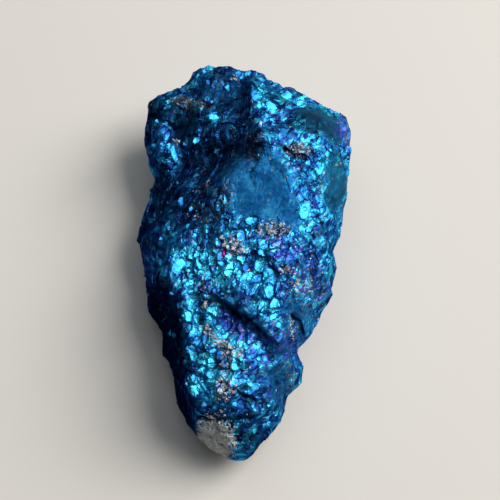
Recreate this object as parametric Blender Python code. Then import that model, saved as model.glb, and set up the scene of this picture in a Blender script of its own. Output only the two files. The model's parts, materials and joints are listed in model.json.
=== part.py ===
# Peacock ore: one small rough lump of tarnished ore, broad at the back, narrow at the tip.
# The lump is blocked out in millimetres from the lines where its broken faces meet,
# then its skin is broken into flat crystal faces, and it is written in metres.
# +X is the steeper right side, +Y the broad back end, +Z up; the origin is under the middle.

import bmesh
import bpy
import numpy as np
from mathutils import Matrix, Vector, geometry, kdtree, noise

# Driving dimensions, in metres
WIDTH = 0.0189
LENGTH = 0.0346
HEIGHT = 0.0122
MM = 0.001

# Fineness of the solid, in millimetres and triangles
SKIN_GRID = 0.25
TOUCHING = 1e-4
TRIANGLES = 9400

# Flat faces that the skin breaks into, in millimetres: their spacing, the length and height of
# the swells that tilt them, and the seed of their scatter
BROKEN_FACES = {"spacing": 2.4, "swell": 6.0, "height": 0.8, "seed": 11}
CRYSTAL_FACES = {"spacing": 1.15, "swell": 2.4, "height": 0.42, "seed": 29}
SLOPE_STEP = 0.05

# Outer edge of the lump seen from above, clockwise from the left back lobe: x, y, height
RIM = [
    (-8.5, 14.7, 6.0), (-7.8, 15.7, 6.3), (-6.2, 15.7, 6.6), (-5.4, 16.1, 6.8), (-4.8, 17.2, 7.0),
    (-3.4, 17.6, 7.5), (-1.2, 17.7, 7.8), (0.6, 17.3, 8.0), (1.8, 16.5, 8.0), (3.3, 15.3, 7.9),
    (4.6, 14.7, 7.7), (5.7, 14.2, 7.5), (7.4, 13.7, 7.3), (9.1, 13.1, 6.8), (9.6, 11.7, 6.4),
    (9.2, 10.2, 6.3), (9.0, 7.7, 6.2), (8.7, 4.7, 6.0), (8.2, 2.4, 6.0), (7.5, 0.7, 5.6),
    (8.0, -0.6, 5.6), (7.7, -3.1, 5.4), (6.9, -4.8, 5.0), (6.2, -6.2, 4.6), (4.6, -7.5, 4.2),
    (5.2, -8.8, 4.0), (4.8, -10.2, 3.8), (3.6, -11.4, 3.6), (3.2, -12.8, 3.4), (2.2, -14.1, 3.2),
    (1.2, -15.2, 3.0), (0.7, -16.3, 2.8), (0.1, -16.9, 2.8), (-1.2, -16.7, 2.8), (-2.3, -16.2, 2.7),
    (-3.2, -15.8, 2.7), (-4.1, -14.7, 2.7), (-4.9, -13.5, 2.6), (-6.0, -12.0, 2.6), (-6.5, -10.1, 2.6),
    (-6.7, -8.3, 2.6), (-7.5, -7.5, 2.6), (-7.6, -5.2, 2.6), (-8.6, -3.8, 2.8), (-9.4, -2.0, 3.0),
    (-9.6, 0.3, 3.4), (-9.6, 2.8, 3.8), (-9.5, 4.3, 4.0), (-8.7, 6.4, 4.5), (-7.9, 7.9, 4.9),
    (-8.3, 9.1, 5.0), (-8.8, 10.9, 5.2), (-8.7, 12.8, 5.6),
]

# Lines on the upper side where two broken faces meet
BACK_SPUR = [(0.5, 16.5, 8.4), (0.5, 14.3, 10.2), (0.6, 12.5, 10.8), (0.7, 11.1, 11.0), (1.2, 9.5, 11.4)]
BACK_HOLLOW = [(-0.1, 15.7, 8.2), (-0.3, 14.3, 8.2), (-0.3, 12.5, 8.8), (-0.2, 10.9, 9.4)]
CREST = [
    (1.2, 9.5, 11.4), (1.7, 8.0, 11.6), (0.8, 6.9, 11.4), (-0.4, 6.1, 11.0), (-1.2, 5.5, 10.6),
    (-2.2, 4.6, 10.0), (-3.1, 3.6, 9.4), (-4.6, 2.3, 8.4), (-6.7, 1.8, 7.0), (-8.5, 1.7, 5.2),
]
LOBE_TOP = [(-4.1, 15.7, 8.0), (-2.9, 15.8, 8.4), (-1.4, 15.8, 8.6)]
LOBE_STEP = [(-5.4, 15.2, 7.4), (-5.0, 13.9, 8.0), (-3.9, 13.0, 8.4), (-3.0, 12.1, 8.8), (-1.9, 11.4, 9.3)]
SHOULDER = [(-7.3, 14.1, 7.0), (-6.2, 13.5, 7.2), (-5.2, 13.2, 7.2), (-4.2, 12.4, 7.8)]
LEFT_RIDGE = [(-8.0, 12.8, 7.0), (-7.8, 11.2, 7.4), (-7.2, 9.6, 7.4), (-6.9, 8.0, 7.0), (-7.0, 6.9, 6.2)]
LEFT_VALLEY = [(-6.4, 12.2, 6.9), (-6.2, 10.8, 6.7), (-5.6, 9.2, 6.8), (-5.5, 7.6, 6.8)]
RIGHT_STEP = [(3.3, 8.1, 10.7), (4.1, 7.4, 10.6), (5.2, 7.5, 10.4), (6.1, 7.5, 10.1)]
LEDGE_TOP = [
    (-4.4, -3.5, 9.1), (-3.2, -4.0, 9.8), (-1.8, -4.8, 10.1), (-0.3, -5.6, 10.2), (1.0, -6.6, 10.1),
    (2.0, -7.3, 9.5), (2.6, -8.0, 8.9),
]
LEDGE_FOOT = [
    (-4.4, -3.9, 8.8), (-3.3, -4.4, 9.0), (-2.0, -5.2, 9.1), (-0.6, -6.0, 9.1), (0.6, -7.0, 9.0),
    (1.6, -7.8, 8.6),
]
FOLD = [(4.0, -6.0, 8.4), (4.6, -6.4, 7.2), (4.7, -7.0, 6.2)]
FLANK_TOP = [
    (-8.1, -1.7, 5.6), (-7.2, -2.5, 7.2), (-6.4, -3.3, 8.3), (-5.9, -4.6, 8.7), (-5.3, -6.0, 8.8),
    (-5.1, -7.6, 8.6), (-5.2, -9.2, 8.2), (-5.1, -10.9, 7.8), (-4.7, -12.8, 7.3), (-4.4, -14.0, 6.6),
]
UPPER_LINES = [
    BACK_SPUR, BACK_HOLLOW, CREST, LOBE_TOP, LOBE_STEP, SHOULDER, LEFT_RIDGE, LEFT_VALLEY, RIGHT_STEP,
    LEDGE_TOP, LEDGE_FOOT, FOLD, FLANK_TOP,
]

# Corners of the broken faces between those lines
DARK_FACE = [
    (-4.2, 9.8, 7.6), (-2.5, 9.3, 8.4), (-0.5, 8.6, 9.5), (-3.6, 7.7, 7.8), (-1.9, 7.4, 8.9),
    (0.0, 7.1, 10.0), (-1.9, 5.9, 9.2), (-4.1, 6.1, 7.6),
]
LOW_LEFT_FACE = [(-5.4, 5.3, 7.4), (-6.2, 4.1, 6.9), (-7.3, 3.6, 5.8), (-7.4, 5.3, 5.6)]
BROAD_FACE = [
    (2.0, 7.1, 11.6), (4.5, 7.0, 10.8), (4.8, 4.3, 10.5), (4.4, 1.6, 10.3), (2.0, 1.1, 10.8),
    (-0.6, 0.9, 10.6), (0.5, 3.6, 11.2), (-1.3, 3.0, 10.6),
]
RIGHT_LOBE = [
    (1.5, 13.8, 9.6), (2.4, 12.4, 10.2), (4.0, 13.3, 9.4), (4.8, 11.9, 9.8), (6.8, 11.8, 9.0),
    (8.2, 11.2, 8.2), (3.4, 9.9, 10.8), (5.3, 9.6, 10.4), (7.0, 9.3, 9.6), (4.7, 8.2, 10.9),
]
RIGHT_STRIP = [
    (6.6, 7.4, 9.7), (7.3, 5.9, 9.0), (8.3, 8.2, 7.8), (8.1, 5.5, 7.6), (6.6, 4.2, 9.6),
    (6.1, 2.7, 9.8), (7.7, 3.5, 7.6), (7.2, 1.6, 7.8),
]
MIDDLE = [
    (-2.4, 1.2, 9.9), (-3.7, 0.4, 9.1), (-1.5, -0.8, 10.3), (0.5, -0.8, 10.8), (2.6, -0.8, 10.8),
    (4.7, -0.8, 10.3), (6.2, -0.6, 9.0), (-6.1, 0.1, 8.2), (-7.3, 0.0, 6.2), (-6.2, -1.6, 8.7),
    (-4.8, -1.4, 8.3), (-3.3, -2.2, 9.5), (-0.8, -2.7, 10.2), (1.5, -2.6, 10.4), (3.8, -2.8, 10.0),
    (5.7, -2.6, 8.6),
]
RIGHT_BULGE = [
    (1.8, -4.2, 10.5), (2.8, -4.9, 10.0), (2.1, -6.2, 9.9), (3.5, -5.9, 9.1), (3.3, -7.3, 8.6),
    (4.7, -4.8, 9.0), (5.0, -6.0, 7.6),
]
FLANK_FOOT = [
    (-7.4, -3.8, 5.4), (-6.7, -5.3, 5.2), (-6.5, -7.0, 5.0), (-6.2, -8.7, 4.8), (-5.8, -10.6, 4.8),
    (-5.4, -12.5, 4.6), (-4.7, -13.7, 4.6),
]
LOWER_BODY = [
    (-4.0, -6.1, 8.9), (-3.4, -8.1, 8.5), (-3.6, -10.2, 8.1), (-3.3, -12.2, 7.7), (-3.0, -13.7, 7.2),
    (-1.8, -7.3, 9.0), (-0.7, -9.0, 8.9), (-1.5, -10.8, 8.5), (-1.3, -12.5, 8.0), (0.5, -9.9, 8.3),
    (0.7, -11.7, 8.0), (1.5, -8.9, 8.2), (-0.5, -13.6, 7.6), (1.0, -13.2, 7.2),
]
LOWER_RIGHT = [
    (2.8, -8.7, 7.7), (3.7, -9.1, 6.9), (4.4, -9.5, 5.8), (2.3, -10.8, 7.2), (3.7, -10.7, 5.9),
    (2.2, -12.6, 6.6), (2.8, -12.8, 5.2), (1.8, -14.1, 5.6),
]
TIP = [
    (-2.7, -14.3, 6.2), (-1.3, -14.5, 6.8), (0.2, -14.8, 6.6), (1.2, -15.0, 5.4), (-1.0, -15.8, 5.8),
    (0.4, -16.2, 5.2), (-0.9, -16.4, 4.9),
]
PALE_CORNER = [
    (-4.0, -14.4, 5.8), (-2.8, -14.9, 5.7), (-1.9, -15.2, 5.7), (-3.3, -15.2, 5.2), (-2.4, -15.8, 4.9),
]
UPPER_CORNERS = [
    DARK_FACE, LOW_LEFT_FACE, BROAD_FACE, RIGHT_LOBE, RIGHT_STRIP, MIDDLE, RIGHT_BULGE, FLANK_FOOT,
    LOWER_BODY, LOWER_RIGHT, TIP, PALE_CORNER,
]

# Underside: the edge where the sides turn under, and the low faces that the flat spot is cut from
UNDER_EDGE = [
    (-6.9, 12.6, 2.9), (-4.0, 15.2, 3.2), (0.4, 15.0, 3.4), (4.4, 12.7, 3.4), (7.8, 10.9, 2.8),
    (7.7, 6.5, 2.2), (6.9, 1.2, 1.9), (6.1, -3.2, 1.6), (3.7, -8.4, 1.4), (1.9, -13.2, 1.2),
    (-1.4, -15.3, 1.1), (-4.3, -12.6, 0.9), (-6.2, -7.8, 0.9), (-7.5, -3.0, 1.1), (-8.1, 3.0, 1.6),
    (-7.0, 8.2, 2.2),
]
UNDER_KEEL = [(-0.6, 12.4, 1.7), (0.3, 8.6, 0.7), (-0.8, 5.0, -0.4), (-0.2, 0.4, -0.6), (-1.0, -4.2, -0.4)]
UNDER_FACES = [
    (-4.6, 8.8, 1.3), (4.6, 8.2, 1.4), (4.4, 4.4, 0.4), (4.6, 0.2, 0.3), (3.2, -4.4, 0.3),
    (0.6, -8.4, 0.4), (-1.4, -11.8, 0.7), (-3.9, -6.8, 0.3), (-5.2, -1.4, 0.3), (-4.8, 4.4, 0.4),
]
CLEAR_OF_CUT = 0.04

# Part of the relief that is kept below the resting reach and on the upright sides
RESTING_REACH = 1.2
RESTING_RELIEF = 0.35
EDGE_RELIEF = 0.6

# Pits and hollows of the upper side: x, y, radius, depth
PITS = [
    (-4.0, 3.1, 0.7, 0.4), (-3.6, -6.1, 0.8, 0.6), (6.0, 5.3, 0.7, 0.4), (7.6, 4.4, 0.7, 0.4),
    (-1.9, 1.0, 0.8, 0.4), (1.0, -1.9, 0.9, 0.45), (-0.4, -12.5, 0.8, 0.4), (1.1, -12.7, 0.7, 0.4),
    (-4.7, -2.5, 0.8, 0.35), (-5.9, 3.9, 0.8, 0.35), (1.6, -14.7, 0.6, 0.35),
]

# Cracks and grooves of the upper side: their paths from above, half width and depth
CRACKS = [
    ([(0.5, -0.5), (1.4, -1.5), (3.1, -2.9)], 0.45, 0.5),
    ([(3.3, 8.2), (3.9, 7.4), (5.3, 7.4)], 0.4, 0.4),
    ([(-4.0, -4.9), (-3.9, -6.0), (-3.3, -6.7)], 0.5, 0.55),
    ([(4.0, -5.8), (4.6, -6.5), (4.8, -7.2)], 0.45, 0.35),
    ([(-3.4, -10.8), (-2.7, -11.8), (-2.3, -12.6)], 0.4, 0.35),
    ([(-4.1, -13.9), (-2.4, -14.1), (-1.2, -14.0)], 0.45, 0.35),
    ([(2.5, -10.2), (2.2, -11.9)], 0.4, 0.25),
]

# Raised lumps of the upper side: x, y, radius, height
LUMPS = [
    (-6.7, 9.9, 1.2, 0.35), (2.1, -3.9, 1.3, 0.3), (-4.4, -8.0, 1.1, 0.3),
    (-3.2, -10.9, 1.0, 0.25), (5.2, 2.9, 1.0, 0.25), (1.2, 8.8, 1.0, 0.3), (-0.6, -9.4, 1.0, 0.25),
    (4.3, 6.6, 0.9, 0.2), (0.4, -15.6, 1.1, 0.3),
]

# Faces that broke smooth keep only part of the crystal relief: x, y, radius, part kept
SMOOTH_FACES = [
    (2.6, 4.2, 4.0, 0.08), (0.2, 3.0, 2.6, 0.25), (-1.2, 6.4, 2.4, 0.25), (6.6, 11.9, 2.2, 0.35),
    (7.6, 6.6, 1.8, 0.4), (4.3, -6.6, 2.2, 0.4), (3.1, -10.4, 2.0, 0.3), (-6.9, 10.2, 1.8, 0.3),
    (-5.5, -1.6, 1.4, 0.3),
]

# Colour and shine of the tarnished ore
ORE_COLOUR = (0.015, 0.19, 0.36, 1.0)
ORE_METALLIC = 0.85
ORE_ROUGHNESS = 0.38


def clear_scene():
    for item in list(bpy.data.objects):
        bpy.data.objects.remove(item, do_unlink=True)


def ore_material():
    material = bpy.data.materials.new("tarnished_ore")
    material.use_nodes = True
    shader = material.node_tree.nodes["Principled BSDF"]
    shader.inputs["Base Color"].default_value = ORE_COLOUR
    shader.inputs["Metallic"].default_value = ORE_METALLIC
    shader.inputs["Roughness"].default_value = ORE_ROUGHNESS
    return material


def triangulated_side(lines, corners):
    """Triangles between the rim, the lines and the corners, as 3D points and index triples."""
    points = list(RIM)
    edges = []
    for line in lines:
        first = len(points)
        points += line
        edges += [(first + i, first + i + 1) for i in range(len(line) - 1)]
    for group in corners:
        points += group
    flat = [Vector(point[:2]) for point in points]
    rim_face = list(reversed(range(len(RIM))))
    found = geometry.delaunay_2d_cdt(flat, edges, [rim_face], 0, TOUCHING, True)
    spots, _, faces, point_of_spot, _, side_of_face = found
    heights = [points[sources[0]][2] for sources in point_of_spot]
    placed = [Vector((spot.x, spot.y, height)) for spot, height in zip(spots, heights)]
    return placed, [face for face, inside in zip(faces, side_of_face) if inside]


def blockout():
    """The lump as one closed low shape: the upper side and the underside joined at the rim."""
    body = bmesh.new()
    under_lines = [UNDER_EDGE + UNDER_EDGE[:1], UNDER_KEEL]
    upper = triangulated_side(UPPER_LINES, UPPER_CORNERS)
    under = triangulated_side(under_lines, [UNDER_FACES])
    for (points, faces), is_upper in ((upper, True), (under, False)):
        corners = [body.verts.new(point) for point in points]
        for face in faces:
            order = face if is_upper else reversed(face)
            body.faces.new([corners[index] for index in order])
    bmesh.ops.remove_doubles(body, verts=body.verts, dist=TOUCHING)
    bmesh.ops.recalc_face_normals(body, faces=body.faces)
    mesh = bpy.data.meshes.new("blockout")
    body.to_mesh(mesh)
    body.free()
    return mesh


def applied(mesh, settings):
    """The mesh after one modifier, given as its type and its values."""
    holder = bpy.data.objects.new("holder", mesh)
    bpy.context.collection.objects.link(holder)
    kind, values = settings
    modifier = holder.modifiers.new(kind.lower(), kind)
    for name, value in values.items():
        setattr(modifier, name, value)
    seen = holder.evaluated_get(bpy.context.evaluated_depsgraph_get())
    result = bpy.data.meshes.new_from_object(seen)
    bpy.data.objects.remove(holder)
    return result


def read_points(mesh):
    points = np.empty(len(mesh.vertices) * 3)
    mesh.vertices.foreach_get("co", points)
    return points.reshape(-1, 3)


def read_normals(mesh):
    normals = np.empty(len(mesh.vertices) * 3)
    mesh.vertices.foreach_get("normal", normals)
    return normals.reshape(-1, 3)


def flat_face_offsets(points, spacing, swell, height, seed):
    """How far each point moves along its normal so that the skin breaks into tilted flat faces."""
    scatter = np.random.default_rng(seed)
    low = points.min(axis=0) - spacing
    high = points.max(axis=0) + spacing
    ranges = [np.arange(a, b, spacing) for a, b in zip(low, high)]
    grid = np.stack(np.meshgrid(*ranges, indexing="ij"), axis=-1).reshape(-1, 3)
    centres = grid + scatter.uniform(0.0, spacing, grid.shape)
    tree = kdtree.KDTree(len(centres))
    for index, centre in enumerate(centres):
        tree.insert(centre, index)
    tree.balance()
    nearest = np.array([tree.find(point)[1] for point in points])
    used, face_of_point = np.unique(nearest, return_inverse=True)
    start = Vector(scatter.uniform(0.0, 50.0, 3))

    def swell_height(place):
        return height * noise.noise(start + Vector(place) / swell)

    middle = np.array([swell_height(centre) for centre in centres[used]])
    stepped = [[swell_height(centre + step) for step in np.eye(3) * SLOPE_STEP] for centre in centres[used]]
    slopes = (np.array(stepped) - middle[:, None]) / SLOPE_STEP
    away = points - centres[nearest]
    return middle[face_of_point] + np.einsum("ij,ij->i", slopes[face_of_point], away)


def soft_spot(points, x, y, radius):
    """One at the middle of a round spot seen from above, falling smoothly to zero at its edge."""
    distance = np.hypot(points[:, 0] - x, points[:, 1] - y) / radius
    return np.clip(1.0 - distance**2, 0.0, 1.0) ** 2


def soft_groove(points, path, half_width):
    """One along the path seen from above, falling smoothly to zero at the half width."""
    spots = points[:, :2]
    nearest = np.full(len(points), np.inf)
    for start, end in zip(np.array(path[:-1]), np.array(path[1:])):
        run = end - start
        along = np.clip((spots - start) @ run / (run @ run), 0.0, 1.0)
        gap = spots - start - along[:, None] * run
        nearest = np.minimum(nearest, np.hypot(gap[:, 0], gap[:, 1]))
    return np.clip(1.0 - nearest / half_width, 0.0, 1.0)


def broken_skin(mesh):
    """Moves the skin into crystal faces, pits and lumps."""
    points = read_points(mesh)
    normals = read_normals(mesh)
    faces_up = np.clip(normals[:, 2] * 2.0, 0.0, 1.0)
    resting = np.clip(RESTING_REACH - points[:, 2], 0.0, 1.0)
    relief = sum(flat_face_offsets(points, **faces) for faces in (BROKEN_FACES, CRYSTAL_FACES))
    relief *= 1.0 - (1.0 - RESTING_RELIEF) * resting
    relief *= EDGE_RELIEF + (1.0 - EDGE_RELIEF) * np.abs(normals[:, 2])
    for x, y, radius, kept in SMOOTH_FACES:
        relief *= 1.0 - (1.0 - kept) * soft_spot(points, x, y, radius) * faces_up
    for x, y, radius, depth in PITS:
        relief -= depth * soft_spot(points, x, y, radius) * faces_up
    for path, half_width, depth in CRACKS:
        relief -= depth * soft_groove(points, path, half_width) * faces_up
    for x, y, radius, height in LUMPS:
        relief += height * soft_spot(points, x, y, radius) * faces_up
    moved = points + normals * relief[:, None]
    mesh.vertices.foreach_set("co", moved.ravel())
    mesh.update()


def fit_to_size(mesh):
    """Scales the lump to its driving dimensions above the floor and centres it over the origin."""
    points = read_points(mesh)
    low, high = points.min(axis=0), points.max(axis=0)
    low[2] = 0.0
    middle = (low + high) / 2.0
    middle[2] = 0.0
    points = (points - middle) * np.array([WIDTH, LENGTH, HEIGHT]) / MM / (high - low)
    mesh.vertices.foreach_set("co", points.ravel())
    mesh.update()


def cut_flat_spot(mesh):
    """Cuts the underside off at the floor, which leaves the small flat spot that the lump rests on."""
    body = bmesh.new()
    body.from_mesh(mesh)
    for corner in body.verts:
        if abs(corner.co.z) < CLEAR_OF_CUT:
            corner.co.z = CLEAR_OF_CUT if corner.co.z > 0.0 else -CLEAR_OF_CUT
    everything = list(body.verts) + list(body.edges) + list(body.faces)
    cut = bmesh.ops.bisect_plane(
        body, geom=everything, dist=TOUCHING, plane_co=(0, 0, 0), plane_no=(0, 0, 1), clear_inner=True
    )
    loop = [item for item in cut["geom_cut"] if isinstance(item, bmesh.types.BMEdge)]
    border = [edge for edge in loop if len(edge.link_faces) == 1]
    bmesh.ops.triangle_fill(body, edges=border, use_beauty=True, normal=(0, 0, -1))
    bmesh.ops.dissolve_degenerate(body, edges=body.edges, dist=TOUCHING)
    bmesh.ops.triangulate(body, faces=body.faces)
    bmesh.ops.recalc_face_normals(body, faces=body.faces)
    body.to_mesh(mesh)
    body.free()


def peacock_ore():
    even = applied(blockout(), ("REMESH", {"mode": "VOXEL", "voxel_size": SKIN_GRID}))
    broken_skin(even)
    fit_to_size(even)
    ratio = TRIANGLES / (2.0 * len(even.polygons))
    mesh = applied(even, ("DECIMATE", {"ratio": ratio, "use_collapse_triangulate": True}))
    cut_flat_spot(mesh)
    mesh.name = "peacock_ore"
    mesh.transform(Matrix.Scale(MM, 4))
    mesh.materials.append(ore_material())
    lump = bpy.data.objects.new("peacock_ore", mesh)
    bpy.context.collection.objects.link(lump)
    return lump


def main():
    clear_scene()
    peacock_ore()


main()
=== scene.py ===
import json
import math

import bmesh
import bpy
import numpy as np
from mathutils import Matrix, Vector, kdtree, noise

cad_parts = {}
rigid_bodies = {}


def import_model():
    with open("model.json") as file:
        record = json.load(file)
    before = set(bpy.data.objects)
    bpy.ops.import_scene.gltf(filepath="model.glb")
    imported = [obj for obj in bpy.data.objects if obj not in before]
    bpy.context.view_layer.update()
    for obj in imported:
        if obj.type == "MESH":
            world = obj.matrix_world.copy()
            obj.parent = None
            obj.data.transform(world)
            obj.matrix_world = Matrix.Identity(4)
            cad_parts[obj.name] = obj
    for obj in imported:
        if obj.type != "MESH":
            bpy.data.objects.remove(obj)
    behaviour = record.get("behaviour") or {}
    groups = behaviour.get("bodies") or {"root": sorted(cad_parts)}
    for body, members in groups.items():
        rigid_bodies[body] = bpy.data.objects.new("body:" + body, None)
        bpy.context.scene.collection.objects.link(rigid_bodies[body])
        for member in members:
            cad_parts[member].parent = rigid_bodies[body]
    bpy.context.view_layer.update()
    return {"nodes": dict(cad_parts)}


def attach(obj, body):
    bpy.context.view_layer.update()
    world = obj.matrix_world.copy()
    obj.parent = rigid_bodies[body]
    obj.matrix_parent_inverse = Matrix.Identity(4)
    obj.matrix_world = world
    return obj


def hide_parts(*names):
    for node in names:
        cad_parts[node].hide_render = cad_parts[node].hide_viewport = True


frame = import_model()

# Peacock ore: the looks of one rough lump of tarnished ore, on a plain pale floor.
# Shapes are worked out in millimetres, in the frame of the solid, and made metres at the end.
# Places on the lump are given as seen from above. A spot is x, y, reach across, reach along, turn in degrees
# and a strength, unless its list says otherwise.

NODE = "peacock_ore"
MM = 0.001
WELD_GAP = 0.000001

# Fineness of the skin
SKIN_GRID = 0.085
SKIN_TRIANGLES = 196000

# Flat faces that the broken skin is made of, in three sizes. Their tilt follows swells of a given length and
# height, with a step and a lean of their own. Each face stands up by its dome, and a crevice runs round it.
COARSE_GRAIN = {"spacing": 0.95, "swell": 1.9, "height": 0.2, "step": 0.04,
                "lean": 0.3, "dome": 0.02, "crevice": 0.02, "seed": 3}
LUMPY_GRAIN = {"spacing": 0.54, "swell": 1.2, "height": 0.1, "step": 0.08,
               "lean": 0.55, "dome": 0.01, "crevice": 0.015, "seed": 19}
FINE_GRAIN = {"spacing": 0.29, "swell": 0.8, "height": 0.05, "step": 0.025,
              "lean": 0.45, "dome": 0.01, "crevice": 0.01, "seed": 7}

# Grains lie long one way: how much shorter they are across it, and its heading
GRAIN_STRETCH = 0.62
GRAIN_HEADING = math.radians(52)

# Share of seeds that become grains, the length in spacings over which they crowd and thin out, and how far
# the dome and the crevice reach, in spacings
SEEDS_KEPT = 0.5
CROWD_SWELL = 3.0
DOME_REACH = 0.9
CREVICE_REACH = 0.3

# Step over which a slope is measured, the least length that is divided by, and the width of the noise field
SLOPE_STEP = 0.02
TINY = 0.001
NOISE_FIELD = 50.0

# The most that one layer of relief moves a point, how far a point may stand out of its neighbours, and how
# often such points are pulled in
RELIEF_LIMIT = 0.22
SPIKE_LIMIT = 0.07
SPIKE_ROUNDS = 3

# Slow change of roughness over the skin
PATCHES = {"swell": 2.6, "low": 0.35, "gain": 1.3, "seed": 23}

# Relief grows with the height above the floor, and is calmer on flanks and underside
FLOOR_GAP = 0.1
FLOOR_RISE = 0.8
LEAST_CALM = 0.3
CALM_GAIN = 1.3

# A share for the skin that faces up: its gain, and what is taken off it for lit grains and for chips
UP_GAIN = 3.0
LIT_START = 0.7
CHIPS_START = 1.2

# Grains of one cleavage lie one way and glint together: their common direction, how far each strays from it,
# the steepest that one may lean on the skin, and the least that a face may look the same way as the skin
CLEAVAGE = np.array([0.36, -0.03, 0.93])
CLEAVAGE_STRAY = 0.1
STEEPEST_LEAN = 1.25
LEAST_FACING = 0.4

# Faces that broke smooth keep only part of the grain: the last number is the part kept
SMOOTH_FACES = [
    (2.1, 4.3, 3.2, 3.4, 15, 0.04), (0.4, 3.6, 2.4, 3.0, 0, 0.04), (3.6, 2.0, 1.6, 1.6, 0, 0.15),
    (-1.0, 6.3, 1.8, 1.6, 0, 0.15), (6.7, 11.6, 3.2, 2.2, -20, 0.15), (7.9, 5.8, 1.4, 3.2, 0, 0.15),
    (4.3, -6.2, 2.0, 2.0, 0, 0.35), (2.7, -10.6, 1.6, 3.2, -12, 0.2), (3.0, -7.4, 1.4, 1.4, 0, 0.35),
    (-5.6, -1.9, 0.9, 1.6, -25, 0.1), (6.6, -3.4, 1.6, 2.6, 10, 0.3), (1.6, 13.0, 1.2, 1.6, 0, 0.3),
    (-0.8, -6.1, 3.4, 0.8, -38, 0.1), (-2.2, 14.6, 2.6, 2.4, 0, 0.35), (-5.6, 11.4, 1.6, 1.6, 0, 0.35),
    (-3.0, 8.0, 3.2, 2.4, 15, 0.75), (-3.1, -15.6, 1.6, 1.6, 0, 0.3), (3.4, 13.8, 1.6, 1.0, -30, 0.3),
]

# Parts where the grain stands up in lumps, and the gain on their strength
LUMPY_PARTS = [
    (-3.0, -9.4, 2.6, 5.6, 0, 1.0), (5.6, 6.6, 1.6, 1.6, 0, 0.9), (5.0, 3.0, 1.2, 2.2, 0, 0.8),
    (0.0, -2.2, 4.4, 2.2, 0, 0.7), (-2.4, 1.6, 2.0, 1.8, 0, 0.5), (2.0, -4.4, 1.8, 2.0, 0, 0.8),
    (0.4, -15.6, 2.0, 1.6, 0, 0.6), (4.8, -3.0, 2.4, 2.4, 0, 0.5),
]
LUMPY_GAIN = 1.6

# Parts where grains of one cleavage face one way: the strength is the share of grains. The same parts get a
# painted highlight, a film lifted towards its bright end.
GLINTS = [
    (-4.5, -7.4, 1.0, 2.8, 0, 1.4), (2.2, -4.4, 1.0, 2.6, 5, 0.95), (-5.6, -1.9, 0.7, 1.3, -25, 1.0),
    (-0.2, -2.2, 3.4, 1.6, -12, 0.85), (-4.4, -2.2, 1.6, 1.8, 0, 0.9), (-1.6, -2.0, 1.6, 2.4, 0, 1.0),
    (4.9, 3.1, 0.7, 1.1, 0, 0.9), (6.0, 6.4, 1.2, 0.9, 20, 0.5), (-2.5, 11.4, 0.9, 0.5, -20, 1.3),
    (1.3, 13.2, 0.5, 0.8, 0, 0.9), (2.2, 12.2, 0.8, 0.5, -30, 0.9), (4.2, 13.3, 1.6, 0.5, -30, 0.6),
    (-4.6, 13.2, 1.2, 0.4, -25, 0.3), (-2.4, -11.2, 1.8, 2.6, 0, 0.8), (-4.1, -11.4, 0.8, 0.8, 0, 1.2),
    (-0.9, -10.6, 0.8, 0.8, 0, 1.2), (-1.0, -11.8, 0.6, 0.6, 0, 0.9), (0.2, -12.8, 0.6, 0.5, 0, 0.7),
    (-1.4, -9.4, 1.3, 1.8, -20, 0.9), (6.8, -1.6, 0.7, 0.8, 0, 0.5), (5.9, -3.9, 1.0, 0.9, 0, 0.5),
    (8.6, 11.2, 0.8, 1.2, 0, 0.4), (4.7, -0.2, 0.8, 1.0, 0, 0.4), (3.2, -9.6, 0.8, 0.8, 0, 0.4),
    (-4.1, 15.6, 0.8, 0.35, 0, 0.7), (-3.0, 13.8, 0.4, 0.5, 0, 0.8), (-1.5, 14.8, 0.4, 0.4, 0, 0.9),
    (-5.6, 3.4, 0.4, 0.8, 0, 0.5), (-7.2, -2.4, 0.9, 1.6, 0, 0.35), (-2.8, -9.8, 0.6, 0.6, 0, 0.9),
    (-2.2, 3.5, 0.8, 0.9, 0, 0.9), (0.9, 1.4, 0.9, 0.6, 0, 0.8), (-1.2, 0.8, 1.3, 1.2, 0, 0.9),
    (2.2, -0.6, 1.5, 0.8, 0, 0.4), (-2.4, -6.2, 1.4, 0.9, -38, 0.8), (0.6, -8.4, 1.6, 0.6, -38, 0.7),
]

# What a glinting part does: gains by which it keeps its relief on smooth faces and breaks into lumps, the
# share of its fine grains that glint, and how much of their relief is lost where nearly all do
GLINT_KEEPS = 2.0
GLINT_LUMPS = 1.5
GLINT_FINE = 0.7
GLINT_WHOLE = 2.5
GLINT_CALMS = 0.8

# Share of fine grains that glint everywhere, and what picks them out
SPARKS = 0.07
SPARK_MARK = 7.7
SPARK_SOFTNESS = 0.02

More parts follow.
